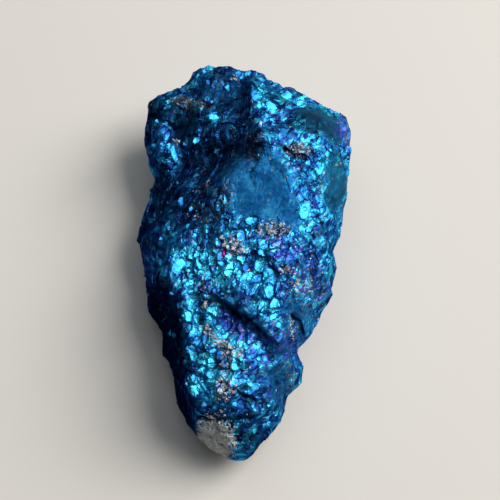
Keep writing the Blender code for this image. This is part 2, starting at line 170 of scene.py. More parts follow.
# Single large faces of the cleavage, flat and whole: x, y, half width, half length, turn in degrees
PLATES = [
    (-7.0, 10.0, 0.24, 1.4, -19), (-6.15, 9.0, 0.26, 0.9, 7), (-7.9, 10.0, 0.2, 0.22, 0),
    (-7.0, 11.8, 0.4, 0.14, 25), (-2.7, 11.5, 0.75, 0.42, -10), (-3.2, 15.3, 0.2, 0.26, 0),
    (-1.5, 14.8, 0.2, 0.24, 0), (-3.3, 13.6, 0.24, 0.28, 0), (1.1, 13.2, 0.5, 0.65, 0),
    (2.3, 12.2, 0.6, 0.35, -25), (3.7, 13.7, 0.8, 0.4, -25), (-5.4, 4.1, 0.22, 0.5, 0),
    (-2.2, 3.1, 0.25, 0.5, -5), (5.4, 6.9, 0.3, 0.3, 0), (6.4, 6.8, 0.25, 0.4, 15),
    (5.1, 2.6, 0.45, 0.9, -15), (0.6, 1.5, 0.6, 0.4, 10), (-5.5, -1.8, 0.45, 0.85, -35),
    (1.5, -1.3, 0.4, 0.26, -30), (2.2, -2.8, 0.45, 0.3, 0), (-0.6, -2.1, 0.35, 0.35, 0),
    (2.1, -4.6, 0.4, 0.8, 0), (-4.6, -6.2, 0.4, 0.5, 0), (-4.2, -7.5, 0.3, 0.6, 0),
    (-4.4, -9.0, 0.5, 0.34, 20), (-3.2, -8.1, 0.24, 0.5, -10), (-0.7, -10.5, 0.42, 0.5, 0),
    (-4.0, -11.4, 0.5, 0.5, 0), (-2.5, -6.8, 0.32, 0.28, 0), (-1.7, -1.0, 0.14, 0.32, -10),
]

# A plate's soft edge as a share of its half size, how far it strays from the cleavage, how much of the fine
# relief it loses, and its own tint and painted highlight
PLATE_EDGE = 0.2
PLATE_STRAY = 0.1
PLATE_CALMS = 0.7
PLATE_TINT = 0.4
PLATE_PAINTED_HIGHLIGHT = 0.5

# Broad faces made level, listed as plates are, with their soft edge and the most that they move a point
LEVEL_FACES = [(1.3, 3.9, 3.4, 4.0, 12)]
LEVEL_EDGE = 0.35
LEVEL_LIMIT = 0.5

# How much of a flat face's corners is cut off, and the least that it has to face up
CORNER_CUT = 0.68
LEAST_UP = 0.2

# Cracks: path, half width and depth
CRACKS = [
    ([(0.3, -0.4), (0.7, -1.1), (1.6, -1.7), (2.2, -2.4), (3.0, -2.9)], 0.13, 0.25),
    ([(3.4, 8.0), (4.2, 7.3), (5.1, 7.4)], 0.14, 0.3),
    ([(-3.7, -5.3), (-3.7, -6.0), (-3.3, -6.9)], 0.2, 0.4),
    ([(-3.0, -4.4), (-1.7, -5.4), (-0.6, -6.4), (0.6, -7.3), (1.8, -8.2)], 0.24, 0.2),
    ([(4.0, -6.2), (4.7, -6.5), (5.0, -7.1)], 0.16, 0.35),
    ([(-3.5, -12.1), (-3.0, -12.9), (-2.3, -13.7)], 0.18, 0.3),
    ([(-3.6, -14.3), (-1.8, -14.6), (0.4, -14.6)], 0.22, 0.4),
    ([(-0.6, -12.6), (-0.2, -12.9), (0.8, -13.2)], 0.2, 0.5),
]

# Painted shade in crevices and cracks: how dark it is between fine grains, between lumps, per millimetre of
# crack, and at most
FINE_CREVICE_SHADE = 0.15
LUMP_CREVICE_SHADE = 0.3
CRACK_SHADE = 3.0
DARKEST_CREVICE_SHADE = 0.95

# Coloured parts of the skin, then painted shade (darker film where the light falls off the lump), then parts
# where the film is smooth as satin
VIOLET = [
    (-4.3, 9.0, 1.5, 0.9, 20, 0.4), (-0.3, 8.6, 1.2, 0.8, 60, 0.4), (8.8, 11.0, 0.9, 1.6, 0, 0.6),
    (3.3, -0.8, 1.7, 1.3, 0, 0.7), (0.6, -8.8, 2.4, 1.0, -38, 0.35), (3.6, -8.4, 1.8, 1.6, 0, 0.45),
    (2.2, -11.4, 0.7, 2.2, -15, 0.25), (-8.8, -1.6, 0.9, 2.6, 0, 0.6), (5.6, -3.2, 2.2, 1.6, 0, 0.35),
    (-1.2, -1.0, 1.2, 0.8, 0, 0.4), (-1.6, -6.6, 2.0, 0.7, -38, 0.4), (3.3, 12.0, 1.2, 0.4, -25, 0.4),
]
PINK = [(-1.7, -1.0, 0.16, 0.34, -10, 1.6)]
TEAL = [
    (6.7, 11.2, 2.8, 1.8, 0, 1.2), (7.9, 6.2, 1.3, 2.8, 0, 1.0), (-6.5, 13.2, 2.4, 1.2, -20, 0.5),
    (0.4, -16.4, 2.4, 1.2, 0, 0.5), (5.0, 16.0, 3.0, 2.0, 0, 0.5), (2.4, 13.4, 2.0, 1.2, -25, 0.6),
]
BARE = [
    (-4.8, 13.4, 1.8, 0.6, -25, 0.95), (4.6, 7.9, 1.3, 0.8, 0, 0.5), (-3.6, 5.0, 0.7, 0.5, 0, 0.5),
    (-4.1, 3.0, 1.1, 0.8, 0, 0.4), (0.9, 8.3, 0.9, 1.2, 0, 0.4), (6.4, 5.2, 0.4, 0.8, 0, 0.4),
    (4.8, -3.9, 1.8, 1.6, 30, 0.25), (3.9, -10.8, 0.5, 1.2, 0, 0.4), (2.4, 0.6, 1.2, 0.6, 0, 0.3),
    (-3.6, -3.6, 1.6, 0.5, -30, 0.3), (-2.0, 3.6, 0.8, 2.6, -35, 0.3),
]
GANGUE = [
    (-2.7, -16.2, 1.7, 1.7, -20, 1.5), (-1.1, -9.2, 1.0, 0.7, -30, 0.35), (-1.6, -12.2, 0.7, 1.2, 0, 0.35),
    (-0.8, -0.6, 1.0, 0.6, -30, 0.35), (2.4, 0.9, 1.2, 0.5, 0, 0.25), (4.1, -7.0, 0.4, 0.7, 0, 0.35),
]
PAINTED_SHADE = [
    (-2.0, 14.0, 2.8, 3.0, 0, 0.75), (-2.6, 8.2, 3.8, 2.4, 15, 0.8), (-7.0, 5.4, 2.2, 2.8, 0, 0.85),
    (-4.2, 3.8, 2.6, 2.2, 0, 0.7), (0.6, 8.4, 1.2, 1.4, 0, 0.7), (-7.6, -8.4, 2.7, 6.6, 8, 1.8),
    (-9.0, 2.0, 1.4, 3.0, 0, 0.8), (-0.4, -6.4, 2.8, 0.34, -38, 0.7), (-5.4, 11.4, 1.4, 2.2, 0, 0.85),
    (-5.6, -13.8, 1.3, 3.2, 14, 1.4), (-0.4, 11.4, 1.4, 3.2, 8, 0.7), (-8.8, 12.0, 1.0, 3.0, 0, 0.8),
    (-9.2, -0.5, 0.8, 3.0, 0, 0.3), (-7.4, 10.2, 1.4, 2.6, 0, 0.3), (6.2, 11.0, 2.2, 1.4, -20, 0.8),
    (-7.9, 12.9, 1.8, 1.6, -20, 0.85), (2.9, -10.6, 1.4, 2.6, -12, 0.3), (7.9, 5.8, 0.9, 2.4, 0, 0.2),
    (0.6, -15.6, 1.6, 1.4, 0, 0.35), (0.2, -13.1, 2.4, 1.0, 0, 0.12), (6.0, -1.4, 1.5, 2.4, 0, 0.35),
    (-5.5, -2.2, 0.8, 1.2, -25, 0.5), (-1.6, -9.6, 1.2, 1.2, 0, 0.2),
]
SATIN = [
    (1.9, 4.2, 2.4, 2.9, 10, 1.0), (0.4, 3.0, 1.6, 2.2, 20, 0.9), (2.0, 6.6, 1.0, 1.4, -25, 0.9),
    (3.6, 2.0, 1.4, 1.3, 0, 0.8), (-0.4, 2.0, 1.0, 1.0, 0, 0.6), (-1.0, 6.3, 1.2, 1.0, 0, 0.6),
    (6.9, 11.2, 2.4, 1.5, -20, 0.8), (7.9, 5.8, 1.1, 2.6, 0, 0.8), (2.9, -10.6, 1.2, 2.6, -12, 0.5),
    (3.4, 13.8, 1.6, 0.8, -30, 0.4), (4.6, -6.0, 1.4, 1.4, 0, 0.5), (-2.2, 14.2, 2.4, 2.4, 0, 0.3),
    (-2.8, 8.2, 3.2, 2.0, 15, 0.15), (-5.4, 11.4, 1.2, 1.8, 0, 0.4),
]

# How much wider a zone reaches than its spots, how softly a grain's mark cuts it off, and how fast a colour
# starts at the zone's edge
ZONE_REACH = 1.3
SPECKLE_SOFTNESS = 0.15
SPECKLE_START = 20.0

# Factors that give each colour a random mark of its own
VIOLET_MARK = 17.3
TEAL_MARK = 29.2
PINK_MARK = 41.1
SATIN_MARK = 5.1

# Satin: the gain on its zone and how softly marks cut it off
SATIN_GAIN = 1.6
SATIN_SOFTNESS = 0.5

# Bare ore: its share everywhere, and how much of it satin and plates hide. Then how much of the painted shade
# sparks and plates escape.
LEAST_BARE = 0.04
SATIN_HIDES = 0.5
PLATE_HIDES = 0.9
PAINTED_SHADE_MISSES = 0.8

# Small chips standing a little out of the skin: how many forms, the corners and half sizes of one, how far
# in its corners may lie, and the seeds of the forms, the sizes and the marks
CHIP_FORMS = 5
CHIP_CORNERS = 9
CHIP_HALVES = np.array([0.42, 0.66, 0.26])
CHIP_SHRINK = 0.8
CHIP_SEED = 100
CHIP_SIZE_SEED = 1
CHIP_MARK_SEED = 2
ORE_CHIPS = {"Apart": 0.3, "Density": 1.2, "Smallest": 0.2, "Largest": 0.55, "Sink": 0.05, "Lean": 0.4,
             "Seed": 5}
PALE_CHIPS = {"Apart": 0.12, "Density": 40.0, "Smallest": 0.16, "Largest": 0.46, "Sink": 0.0, "Lean": 0.6,
              "Seed": 8}
BARE_CHIPS = {"Apart": 0.12, "Density": 6.0, "Smallest": 0.07, "Largest": 0.22, "Sink": 0.0, "Lean": 0.6,
              "Seed": 11}

# Shares of ore chips in lumpy and in glinting parts
LUMPY_CHIPS = 0.7
GLINT_CHIPS = 0.5

# Where pale grains sit
PALE_PARTS = [
    (-3.0, -7.6, 0.3, 1.1, 35, 1.3), (-1.8, -8.8, 0.4, 1.3, 50, 1.3), (-1.1, -9.4, 0.8, 0.7, -20, 0.9),
    (-1.6, -10.8, 0.5, 0.7, 0, 0.8), (-1.2, -12.4, 0.6, 0.5, 0, 0.9), (-1.8, -13.0, 0.6, 0.5, 0, 0.6),
    (-0.9, -0.5, 1.2, 0.5, -30, 0.8), (2.4, 0.9, 1.3, 0.5, 0, 0.7), (4.1, -7.0, 0.25, 0.6, 0, 1.0),
    (4.7, -3.9, 0.9, 0.7, 0, 0.5), (4.6, 7.9, 1.0, 0.5, 0, 1.0), (-0.8, 16.0, 0.5, 0.4, 0, 0.6),
    (-6.0, 10.2, 0.25, 0.3, 0, 1.0), (3.4, -2.6, 0.6, 0.4, 0, 0.6), (-3.4, -5.2, 0.3, 0.4, 0, 0.8),
    (-2.3, -15.4, 1.5, 1.3, -20, 0.4),
]

# Where flecks of bare ore sit
BARE_PARTS = [
    (-4.6, 13.4, 1.8, 0.5, -25, 0.7), (4.6, 7.9, 1.2, 0.6, 0, 0.5), (-3.6, 5.0, 1.2, 0.9, 0, 0.5),
    (-4.1, 3.0, 1.4, 1.0, 0, 0.6), (0.8, 8.0, 0.9, 1.4, 0, 0.5), (6.3, 5.2, 0.5, 1.0, 0, 0.9),
    (4.8, -3.4, 2.2, 2.0, 30, 0.35), (3.9, -11.0, 0.5, 1.4, 0, 0.6), (1.2, 0.6, 2.4, 0.9, 0, 0.4),
    (-1.0, 3.8, 0.9, 2.6, -32, 0.4), (-4.6, -3.6, 1.8, 1.2, 0, 0.4), (3.2, -1.6, 1.8, 1.6, 0, 0.3),
    (1.8, 10.8, 2.2, 1.0, 0, 0.25), (0.6, -14.0, 2.4, 1.6, 0, 0.2), (-3.0, -10.4, 2.0, 3.0, 0, 0.12),
]

# Colours of the film, from its dark to its bright end
BLUES = [(0.0, (0.006, 0.012, 0.08)), (0.4, (0.010, 0.06, 0.26)), (0.75, (0.024, 0.24, 0.55)),
         (1.0, (0.06, 0.56, 0.82))]
VIOLETS = [(0.0, (0.01, 0.02, 0.15)), (0.5, (0.03, 0.07, 0.38)), (0.85, (0.09, 0.15, 0.54)),
           (1.0, (0.16, 0.17, 0.55))]
TEALS = [(0.0, (0.003, 0.02, 0.06)), (0.6, (0.008, 0.11, 0.23)), (1.0, (0.03, 0.42, 0.56))]
SATINS = [(0.0, (0.003, 0.04, 0.16)), (0.5, (0.006, 0.11, 0.30)), (1.0, (0.03, 0.26, 0.52))]
BARES = [(0.0, (0.03, 0.05, 0.07)), (0.5, (0.11, 0.135, 0.14)), (1.0, (0.34, 0.34, 0.31))]
GANGUES = [(0.0, (0.18, 0.20, 0.21)), (1.0, (0.66, 0.67, 0.65))]
PINK_GRAIN = (0.42, 0.05, 0.30, 1.0)
# The colour that painted shade, in the zones and in crevices and cracks, takes the film towards
PAINTED_SHADE_COLOUR = (0.001, 0.003, 0.012, 1.0)
FILM_EDGE = (0.2, 0.4, 0.6, 1.0)
FILM_SPECULAR = 0.15

# What moves the film towards its bright end: its tint, a painted highlight where it glints and painted shade
# pulling it back; and the span that becomes dark to bright
FILM_WEIGHT = 0.9
LEVEL_WEIGHTS = {"tint": 0.5, "glint": 0.2, "painted_shade": -0.25}
LEVEL_SPAN = (0.3, 0.95)

# Nap of the smooth faces, drawn out a little one way, over broad mottling
NAP = {"Scale": 3600.0, "Detail": 4.0, "Roughness": 0.7}
NAP_DRAW = (1.0, 0.75, 1.0)
NAP_SPAN = (0.3, 0.7)
NAP_WEIGHT = 0.7
NAP_START = -0.65
NAP_LEVELS = (0.35, 0.75)
MOTTLE = {"Scale": 650.0, "Detail": 3.0}
MOTTLE_WEIGHT = 1.6

# Flecks of bare ore and gangue: fineness, how much of the film bare ones hide, and how gangue is lightened by
# its own mark and by the film's level, which carries painted highlight and painted shade
FLECK_SCALE = 6500.0
BARE_COVER = 0.8
GANGUE_MARK_WEIGHT = 0.5
GANGUE_LEVEL_WEIGHT = 0.6

# How far the painted shade in the zones and the painted shade in crevices and cracks take the colour to its
# deepest
PAINTED_SHADE_DARKENING = {"painted_shade": 0.93, "gap": 0.75}

# Metal and gloss of the film, and of gangue, satin and painted shade where they lie over it
FILM_METAL = 0.96
GANGUE_METAL = 0.1
SATIN_METAL = 0.6
FILM_ROUGH = (0.38, 0.55)
SATIN_ROUGH = 0.62
PAINTED_SHADE_DULLS = 0.9

# Fine unevenness of the surfaces, and the looks of the two kinds of chips
FILM_DETAIL = 3.0
HEIGHT_DETAIL = 2.0
FILM_SURFACE = {"Film Scale": 1800.0, "Height Scale": 9000.0, "Bump Strength": 0.35, "Bump Distance": 0.00006}
CHIP_SURFACE = {"Film Scale": 2600.0, "Height Scale": 9000.0, "Bump Strength": 0.3, "Bump Distance": 0.00004}
CHIP_SPAN = (0.05, 0.5)
PALE_FINISH = {"stops": [(0.0, (0.12, 0.14, 0.155)), (0.5, (0.28, 0.31, 0.325)), (1.0, (0.56, 0.585, 0.59))],
               "metallic": 0.0, "gloss": (0.35, 0.6)}
BARE_FINISH = {"stops": [(0.0, (0.05, 0.06, 0.07)), (0.6, (0.16, 0.162, 0.155)), (1.0, (0.46, 0.445, 0.40))],
               "metallic": 0.85, "gloss": (0.3, 0.5)}

# Floor, room, lamps and view, in metres. A lamp is a name, the direction to it, its distance, size, power
# and colour.
FLOOR_HALF = 1.0
FLOOR_COLOUR = (0.62, 0.59, 0.55, 1.0)
FLOOR_ROUGHNESS = 0.8
ROOM_COLOUR = (0.8, 0.88, 1.0, 1.0)
ROOM_STRENGTH = 0.03
LAMPS = [
    ("window", (1.0, 0.4, 1.1), 0.5, (0.3, 0.42), 3.8, (1.0, 0.98, 0.95)),
    ("ceiling", (-0.1, 0.5, 1.0), 0.5, (0.5, 0.5), 0.9, (0.85, 0.93, 1.0)),
]
VIEW_ELEVATION = math.radians(72)
VIEW_TARGET = Vector((0.49, 0.46, 6.0)) * MM
VIEW_DISTANCE = 0.1201
VIEW_NEAREST = 0.001
LENS = 100.0


def main():
    skin = ore_skin()
    points = read_points(skin)
    crystals = ore_chips(skin)
    grains = chips(skin, zone(points, PALE_PARTS), PALE_CHIPS)
    flecks = chips(skin, zone(points, BARE_PARTS), BARE_CHIPS)
    ore = ore_material()
    finish_piece("ore_skin", skin, ore)
    finish_piece("ore_crystals", crystals, ore)
    finish_piece("gangue_grains", grains, chip_material("pale_gangue", PALE_FINISH))
    finish_piece("bare_flecks", flecks, chip_material("bare_ore", BARE_FINISH))
    pale_floor()
    soft_room()
    lamps()
    view()


def finish_piece(name, mesh, material):
    mesh.transform(Matrix.Scale(MM, 4))
    mesh.materials.clear()
    mesh.materials.append(material)
    piece = add_piece(name, mesh)
    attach(piece, "root")
    if name == "ore_skin":
        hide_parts(NODE)


# Mesh tools

def read_points(mesh):
    points = np.empty(len(mesh.vertices) * 3)
    mesh.vertices.foreach_get("co", points)
    return points.reshape(-1, 3)


def read_normals(mesh):
    normals = np.empty(len(mesh.vertices) * 3)
    mesh.vertices.foreach_get("normal", normals)
    return normals.reshape(-1, 3)


def write_points(mesh, points):
    mesh.vertices.foreach_set("co", points.ravel())
    mesh.update()


def read_values(mesh, name):
    values = np.empty(len(mesh.vertices))
    mesh.attributes[name].data.foreach_get("value", values)
    return values


def write_values(mesh, name, values):
    if name not in mesh.attributes:
        mesh.attributes.new(name, "FLOAT", "POINT")
    mesh.attributes[name].data.foreach_set("value", values.astype(np.float32))


def applied(mesh, kind, **values):
    """The mesh after one modifier."""
    holder = add_piece("holder", mesh)
    modifier = holder.modifiers.new(kind.lower(), kind)
    for name, value in values.items():
        setattr(modifier, name, value)
    return baked(holder)


def baked(holder):
    """The plain mesh that an object's modifiers give, with the object removed."""
    seen = holder.evaluated_get(bpy.context.evaluated_depsgraph_get())
    result = bpy.data.meshes.new_from_object(seen)
    bpy.data.objects.remove(holder)
    return result


def add_piece(name, mesh):
    piece = bpy.data.objects.new(name, mesh)
    bpy.context.scene.collection.objects.link(piece)
    return piece


def cad_copy():
    """The solid's own mesh, merged and in millimetres."""
    mesh = frame["nodes"][NODE].data.copy()
    mesh.materials.clear()
    merged = applied(mesh, "WELD", merge_threshold=WELD_GAP)
    merged.transform(Matrix.Scale(1 / MM, 4))
    return merged


# Spots and zones

def clipped(values):
    return np.clip(values, 0.0, 1.0)


def from_spot(points, x, y, turn):
    """How far each point lies to the right of a turned spot, and ahead of it, as seen from above."""
    angle = math.radians(turn)
    away_x = points[:, 0] - x
    away_y = points[:, 1] - y
    right = away_x * math.cos(angle) + away_y * math.sin(angle)
    ahead = away_y * math.cos(angle) - away_x * math.sin(angle)
    return right, ahead


def soft_spot(points, x, y, across, along, turn):
    """One at the middle of an oval spot, falling smoothly to zero at its edge."""
    right, ahead = from_spot(points, x, y, turn)
    return clipped(1.0 - (right / across) ** 2 - (ahead / along) ** 2) ** 2


def zone(points, spots):
    """The strongest of the spots at each point, one at most."""
    share = np.zeros(len(points))
    for x, y, across, along, turn, strength in spots:
        spot = soft_spot(points, x, y, across * ZONE_REACH, along * ZONE_REACH, turn)
        share = np.maximum(share, strength * np.sqrt(spot))
    return np.minimum(share, 1.0)


def soft_groove(points, path, half_width):
    """One along the path, falling to zero at the half width."""
    spots = points[:, :2]
    nearest = np.full(len(points), np.inf)
    for start, end in zip(np.array(path[:-1]), np.array(path[1:])):
        run = end - start
        along = clipped((spots - start) @ run / (run @ run))
        gap = spots - start - along[:, None] * run
        nearest = np.minimum(nearest, np.hypot(gap[:, 0], gap[:, 1]))
    return clipped(1.0 - nearest / half_width)


def facing_up(normals, start=0.0):
    """One where the skin faces up, falling to zero towards the flanks, sooner with a higher start."""
    return clipped(UP_GAIN * normals[:, 2] - start)


# Relief of the skin

def waves(start, places, length):
    """Smooth noise of the given wave length at each place."""
    return np.array([noise.noise(start + Vector(place) / length) for place in places])


def patchiness(points):
    """Slow change of roughness over the skin, from its low value to one."""
    start = Vector(np.random.default_rng(PATCHES["seed"]).uniform(0.0, NOISE_FIELD, 3))
    level = clipped(0.5 + PATCHES["gain"] * waves(start, points, PATCHES["swell"]))
    return PATCHES["low"] + (1.0 - PATCHES["low"]) * level


def grain_direction():
    return np.array([math.cos(GRAIN_HEADING), math.sin(GRAIN_HEADING), 0.0])


def along_grain(points):
    """Points with the grain's long direction pressed together, so that cells come out long that way."""
    along = points @ grain_direction()
    return points - (1.0 - GRAIN_STRETCH) * along[:, None] * grain_direction()


def grain_seeds(pressed, spacing, scatter):
    """Middles of grains, crowded in some parts, and where in the noise field this layer starts."""
    low = pressed.min(axis=0) - spacing
    high = pressed.max(axis=0) + spacing
    ranges = [np.arange(a, b, spacing) for a, b in zip(low, high)]
    grid = np.stack(np.meshgrid(*ranges, indexing="ij"), axis=-1).reshape(-1, 3)
    seeds = grid + scatter.uniform(0.0, spacing, grid.shape)
    start = Vector(scatter.uniform(0.0, NOISE_FIELD, 3))
    crowding = waves(start, seeds, CROWD_SWELL * spacing)
    return seeds[scatter.uniform(0.0, 1.0, len(seeds)) < SEEDS_KEPT + crowding], start


def nearest_seeds(pressed, seeds):
    """Which seed is nearest to each point, and how much further off the next one is."""
    tree = kdtree.KDTree(len(seeds))
    for index, place in enumerate(seeds):
        tree.insert(place, index)
    tree.balance()
    found = [tree.find_n(point, 2) for point in pressed]
    nearest = np.array([pair[0][1] for pair in found])
    gap = np.array([pair[1][2] - pair[0][2] for pair in found])
    return nearest, gap


def broken_faces(points, normals, glint, spacing, swell, height, step, lean, dome, crevice, seed):
    """How far each point moves out so that the skin breaks into tilted flat faces, a random mark per face,
    and how near each point is to the crevice round its face."""
    pressed = along_grain(points)
    scatter = np.random.default_rng(seed)
    seeds, start = grain_seeds(pressed, spacing, scatter)
    nearest, gap = nearest_seeds(pressed, seeds)
    _, face_of_point, sizes = np.unique(nearest, return_inverse=True, return_counts=True)

    def face_mean(values):
        sums = [np.bincount(face_of_point, weights=column) for column in values.T]
        return np.stack(sums, axis=-1) / sizes[:, None]

    centres = face_mean(pressed)
    faces = len(centres)
    marks = scatter.uniform(0.0, 1.0, faces)
    steps = scatter.uniform(-step, step, faces)
    middle = height * waves(start, centres, swell)
    beside = [height * waves(start, centres + side, swell) for side in np.eye(3) * SLOPE_STEP]
    slopes = (np.stack(beside, axis=-1) - middle[:, None]) / SLOPE_STEP
    slopes += lean * scatter.uniform(-1.0, 1.0, (faces, 3)) ** 3
    glints = other_mark(marks, SPARK_MARK) > 1.0 - face_mean(glint[:, None])[:, 0]
    slopes = np.where(glints[:, None], cleavage_slopes(face_mean(normals), scatter), slopes)
    flat = (middle + steps)[face_of_point] + np.einsum(
        "ij,ij->i", slopes[face_of_point], pressed - centres[face_of_point])
    inside = clipped(gap / (DOME_REACH * spacing))
    closed = clipped(1.0 - gap / (CREVICE_REACH * spacing))
    return flat + dome * (1.0 - (1.0 - inside) ** 2) - crevice * closed, marks[face_of_point], closed


def cleavage_slopes(facing, scatter):
    """Slopes that turn faces from the way the skin faces to the common direction of the cleavage."""
    facing = facing / np.linalg.norm(facing, axis=1)[:, None]
    wanted = CLEAVAGE + scatter.normal(0.0, CLEAVAGE_STRAY, facing.shape)
    toward = np.maximum(np.einsum("ij,ij->i", wanted, facing), LEAST_FACING)
    slopes = facing - wanted / toward[:, None]
    steep = np.maximum(np.linalg.norm(slopes, axis=1), TINY)
    slopes *= np.minimum(1.0, STEEPEST_LEAN / steep)[:, None]
    heading = grain_direction()
    return slopes + (1.0 / GRAIN_STRETCH - 1.0) * (slopes @ heading)[:, None] * heading


def flat_faces(points, normals, spots, edge, facing=None):
    """How far each point moves so that every spot comes out flat, turned to the given direction or left as it
    faces, and how well inside such a spot it lies."""
    scatter = np.random.default_rng(len(spots))
    moves = np.zeros(len(points))
    inside = np.zeros(len(points))
    for x, y, half_width, half_length, turn in spots:
        right, ahead = from_spot(points, x, y, turn)
        right, ahead = np.abs(right) / half_width, np.abs(ahead) / half_length
        reach = np.maximum(np.maximum(right, ahead), CORNER_CUT * (right + ahead))
        on = (reach < 1.0) & (normals[:, 2] > LEAST_UP)
        wanted = normals[on].mean(axis=0) if facing is None else facing + scatter.normal(0.0, PLATE_STRAY, 3)
        wanted = wanted / np.linalg.norm(wanted)
        away = points[on] - points[on].mean(axis=0)
        weight = clipped((1.0 - reach[on]) / edge)
        moves[on] = -(away @ wanted) / np.maximum(normals[on] @ wanted, LEAST_FACING) * weight
        inside[on] = np.maximum(inside[on], weight)
    return moves, inside


def pull_in_spikes(mesh):
    """Brings a point that stands far out of its neighbours back to their middle."""
    ends = np.empty(len(mesh.edges) * 2, dtype=int)
    mesh.edges.foreach_get("vertices", ends)
    first, second = ends.reshape(-1, 2).T
    points = read_points(mesh)
    count = np.bincount(np.concatenate([first, second]), minlength=len(points))
    sums = [np.bincount(first, weights=column[second], minlength=len(points))
            + np.bincount(second, weights=column[first], minlength=len(points)) for column in points.T]
    middle = np.stack(sums, axis=-1) / np.maximum(count, 1)[:, None]
    far_out = np.linalg.norm(points - middle, axis=1) > SPIKE_LIMIT
    points[far_out] = middle[far_out]
    write_points(mesh, points)


def roughness(points, faces_up):
    """The part of the grain that is kept, less than one on faces that broke smooth."""
    rough = np.ones(len(points))
    for x, y, across, along, turn, kept in SMOOTH_FACES:
        rough *= 1.0 - (1.0 - kept) * np.sqrt(soft_spot(points, x, y, across, along, turn)) * faces_up
    return rough


def ore_skin():
    """The lump's outside, refined from the solid and broken into the grain's flat faces."""
    mesh = applied(cad_copy(), "REMESH", mode="VOXEL", voxel_size=SKIN_GRID)
    points = read_points(mesh)
    normals = read_normals(mesh)
    faces_up = facing_up(normals)
    clear_of_floor = clipped((points[:, 2] - FLOOR_GAP) / FLOOR_RISE)
    calm = np.clip(LEAST_CALM + CALM_GAIN * normals[:, 2], LEAST_CALM, 1.0)
    rough = roughness(points, faces_up)
    lit = facing_up(normals, LIT_START)
    glint = zone(points, GLINTS) * lit
    lumpy = clipped(LUMPY_GAIN * zone(points, LUMPY_PARTS)) * faces_up
    free = np.maximum(rough, clipped(GLINT_KEEPS * glint))

    def move_out(relief, limit=RELIEF_LIMIT):
        relief = np.clip(relief, -limit, limit)
        write_points(mesh, read_points(mesh) + read_normals(mesh) * (relief * clear_of_floor)[:, None])

    level, _ = flat_faces(points, normals, LEVEL_FACES, LEVEL_EDGE)
    move_out(level, LEVEL_LIMIT)
    coarse, _, _ = broken_faces(points, normals, np.zeros(len(points)), **COARSE_GRAIN)
    move_out(coarse * rough * calm)
    lumps, lump_mark, lump_crevice_shade = broken_faces(read_points(mesh), read_normals(mesh), glint, **LUMPY_GRAIN)
    lumps *= np.maximum(lumpy, clipped(GLINT_LUMPS * glint)) * free
    move_out(lumps * calm)
    flat, plate = flat_faces(read_points(mesh), normals, PLATES, PLATE_EDGE, CLEAVAGE)
    move_out(flat)
    fine_glint = np.maximum(GLINT_FINE * glint, SPARKS * lit)
    fine, fine_mark, fine_crevice_shade = broken_faces(read_points(mesh), read_normals(mesh), fine_glint, **FINE_GRAIN)
    whole_faces = 1.0 - GLINT_CALMS * clipped(GLINT_WHOLE * glint - 1.0)
    whole_faces = whole_faces * (1.0 - PLATE_CALMS * plate)
    move_out(fine * patchiness(points) * free * calm * whole_faces)
    cut = np.zeros(len(points))
    for path, half_width, depth in CRACKS:
        cut = np.maximum(cut, depth * soft_groove(points, path, half_width) * faces_up)
    move_out(-cut)
    for _ in range(SPIKE_ROUNDS):
        pull_in_spikes(mesh)

    mark = np.where(lumpy > 0.5, lump_mark, fine_mark)
    write_values(mesh, "tint", mark + (PLATE_TINT - mark) * plate)
    write_values(mesh, "fleck", fine_mark)
    write_values(mesh, "plate", plate)
    # Painted shade in the crevices round faces and along the cracks, kept as the gap attribute
    gap = np.maximum(fine_crevice_shade * FINE_CREVICE_SHADE * free * whole_faces,
                     LUMP_CREVICE_SHADE * lump_crevice_shade * lumpy * free * (1.0 - plate))
    write_values(mesh, "gap", np.maximum(gap, np.minimum(cut * CRACK_SHADE, DARKEST_CREVICE_SHADE)))
    skin = applied(mesh, "DECIMATE", ratio=SKIN_TRIANGLES / (2.0 * len(mesh.polygons)))
    tarnish_and_painted_light(skin)
    return skin


# Colours, as a share of each kind at every point

def speckled(share, mark, softness=SPECKLE_SOFTNESS):
    """The share made patchy: a grain takes the colour where its own mark lies below the share."""
    return clipped((share - mark) / softness + 0.5) * clipped(share * SPECKLE_START)


def other_mark(mark, factor):
    """A second random mark worked out from the first."""
    return np.modf(mark * factor)[0]


def tarnish_and_painted_light(mesh):
    """Writes the share of each colour, and of the painted shade and painted highlight, from the zones and
    each grain's own mark.
    """
    points = read_points(mesh)
    fleck = read_values(mesh, "fleck")
    plate = read_values(mesh, "plate")
    violet = speckled(zone(points, VIOLET), other_mark(fleck, VIOLET_MARK))
    satin = speckled(SATIN_GAIN * zone(points, SATIN), other_mark(fleck, SATIN_MARK), SATIN_SOFTNESS)
    satin = satin * (1.0 - plate)
    sparks = clipped((other_mark(fleck, SPARK_MARK) - (1.0 - SPARKS)) / SPARK_SOFTNESS)
    bare = (LEAST_BARE + zone(points, BARE)) * (1.0 - SATIN_HIDES * satin) * (1.0 - PLATE_HIDES * plate)
    write_values(mesh, "violet", violet * (1.0 - plate))
    write_values(mesh, "teal", speckled(zone(points, TEAL), other_mark(fleck, TEAL_MARK)))
    write_values(mesh, "pink", speckled(zone(points, PINK), other_mark(fleck, PINK_MARK)))
    # Painted highlight: glinting parts and plates lift the film towards its bright end
    write_values(mesh, "glint", np.maximum(zone(points, GLINTS), PLATE_PAINTED_HIGHLIGHT * plate))
    # Painted shade: darker film where the light falls off, spared on sparks and plates
    write_values(mesh, "painted_shade", zone(points, PAINTED_SHADE) * (1.0 - PAINTED_SHADE_MISSES * np.maximum(sparks, plate)))
    write_values(mesh, "satin", satin)
    write_values(mesh, "bare", bare)
    write_values(mesh, "gangue", zone(points, GANGUE))


# Nodes

